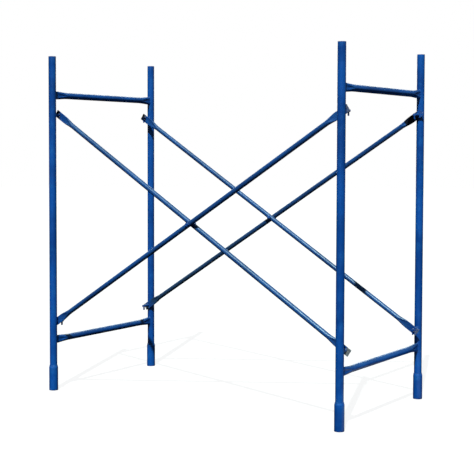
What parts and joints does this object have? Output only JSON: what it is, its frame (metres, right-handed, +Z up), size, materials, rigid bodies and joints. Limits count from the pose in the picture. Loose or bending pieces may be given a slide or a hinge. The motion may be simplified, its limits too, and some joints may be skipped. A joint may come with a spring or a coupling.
{
  "type": "frame scaffold section",
  "caption": "Open scaffold bay: two welded ladderless end frames with foot sockets, tied on both long sides by cross braces pinned at their middles and held on studs by drop locks.",
  "frame": {"origin": "on the ground, at the middle of the section's footprint", "axes": "+X along the section from the left end frame to the right one, +Y across it from the front standards to the back ones, +Z up"},
  "size_m": [2.0104, 1.0298, 2],
  "materials": {
    "blue_paint": "gloss",
    "zinc_plate": "satin"
  },
  "bodies": {
    "frames": {"left_front_standard": "blue_paint", "left_front_socket": "blue_paint", "left_front_upper_stud": "blue_paint", "left_front_upper_lock_pin": "zinc_plate", "left_front_lower_stud": "blue_paint", "left_front_lower_lock_pin": "zinc_plate", "left_back_standard": "blue_paint", "left_back_socket": "blue_paint", "left_back_upper_stud": "blue_paint", "left_back_upper_lock_pin": "zinc_plate", "left_back_lower_stud": "blue_paint", "left_back_lower_lock_pin": "zinc_plate", "left_upper_ledger": "blue_paint", "left_lower_ledger": "blue_paint", "right_front_standard": "blue_paint", "right_front_socket": "blue_paint", "right_front_upper_stud": "blue_paint", "right_front_upper_lock_pin": "zinc_plate", "right_front_lower_stud": "blue_paint", "right_front_lower_lock_pin": "zinc_plate", "right_back_standard": "blue_paint", "right_back_socket": "blue_paint", "right_back_upper_stud": "blue_paint", "right_back_upper_lock_pin": "zinc_plate", "right_back_lower_stud": "blue_paint", "right_back_lower_lock_pin": "zinc_plate", "right_upper_ledger": "blue_paint", "right_lower_ledger": "blue_paint"},
    "front_braces": {"front_rising_brace": "blue_paint", "front_falling_brace": "blue_paint", "front_centre_bolt": "blue_paint", "front_centre_nut": "blue_paint", "front_centre_spacer": "zinc_plate", "front_head_washer": "blue_paint", "front_nut_washer": "blue_paint"},
    "back_braces": {"back_rising_brace": "blue_paint", "back_falling_brace": "blue_paint", "back_centre_bolt": "blue_paint", "back_centre_nut": "blue_paint", "back_centre_spacer": "zinc_plate", "back_head_washer": "blue_paint", "back_nut_washer": "blue_paint"},
    "left_front_upper_lock": {"left_front_upper_lock": "blue_paint"},
    "left_front_lower_lock": {"left_front_lower_lock": "blue_paint"},
    "left_back_upper_lock": {"left_back_upper_lock": "blue_paint"},
    "left_back_lower_lock": {"left_back_lower_lock": "blue_paint"},
    "right_front_upper_lock": {"right_front_upper_lock": "blue_paint"},
    "right_front_lower_lock": {"right_front_lower_lock": "blue_paint"},
    "right_back_upper_lock": {"right_back_upper_lock": "blue_paint"},
    "right_back_lower_lock": {"right_back_lower_lock": "blue_paint"}
  },
  "joints": [
    {"name": "front_braces_slide", "type": "slide", "parent": "frames", "child": "front_braces", "axis": [0, 1, 0], "range_m": [-0.002, 0.005]},
    {"name": "back_braces_slide", "type": "slide", "parent": "frames", "child": "back_braces", "axis": [0, -1, 0], "range_m": [-0.002, 0.005]},
    {"name": "left_front_upper_lock_swing", "type": "hinge", "parent": "frames", "child": "left_front_upper_lock", "pos_m": [-0.97, -0.41075, 1.652], "axis": [1, 0, 0], "range_deg": [0, 90]},
    {"name": "left_front_lower_lock_swing", "type": "hinge", "parent": "frames", "child": "left_front_lower_lock", "pos_m": [-0.97, -0.41075, 0.411], "axis": [1, 0, 0], "range_deg": [0, 90]},
    {"name": "left_back_upper_lock_swing", "type": "hinge", "parent": "frames", "child": "left_back_upper_lock", "pos_m": [-0.97, 0.41075, 1.652], "axis": [-1, 0, 0], "range_deg": [0, 90]},
    {"name": "left_back_lower_lock_swing", "type": "hinge", "parent": "frames", "child": "left_back_lower_lock", "pos_m": [-0.97, 0.41075, 0.411], "axis": [-1, 0, 0], "range_deg": [0, 90]},
    {"name": "right_front_upper_lock_swing", "type": "hinge", "parent": "frames", "child": "right_front_upper_lock", "pos_m": [0.97, -0.41075, 1.652], "axis": [1, 0, 0], "range_deg": [0, 90]},
    {"name": "right_front_lower_lock_swing", "type": "hinge", "parent": "frames", "child": "right_front_lower_lock", "pos_m": [0.97, -0.41075, 0.411], "axis": [1, 0, 0], "range_deg": [0, 90]},
    {"name": "right_back_upper_lock_swing", "type": "hinge", "parent": "frames", "child": "right_back_upper_lock", "pos_m": [0.97, 0.41075, 1.652], "axis": [-1, 0, 0], "range_deg": [0, 90]},
    {"name": "right_back_lower_lock_swing", "type": "hinge", "parent": "frames", "child": "right_back_lower_lock", "pos_m": [0.97, 0.41075, 0.411], "axis": [-1, 0, 0], "range_deg": [0, 90]}
  ]
}
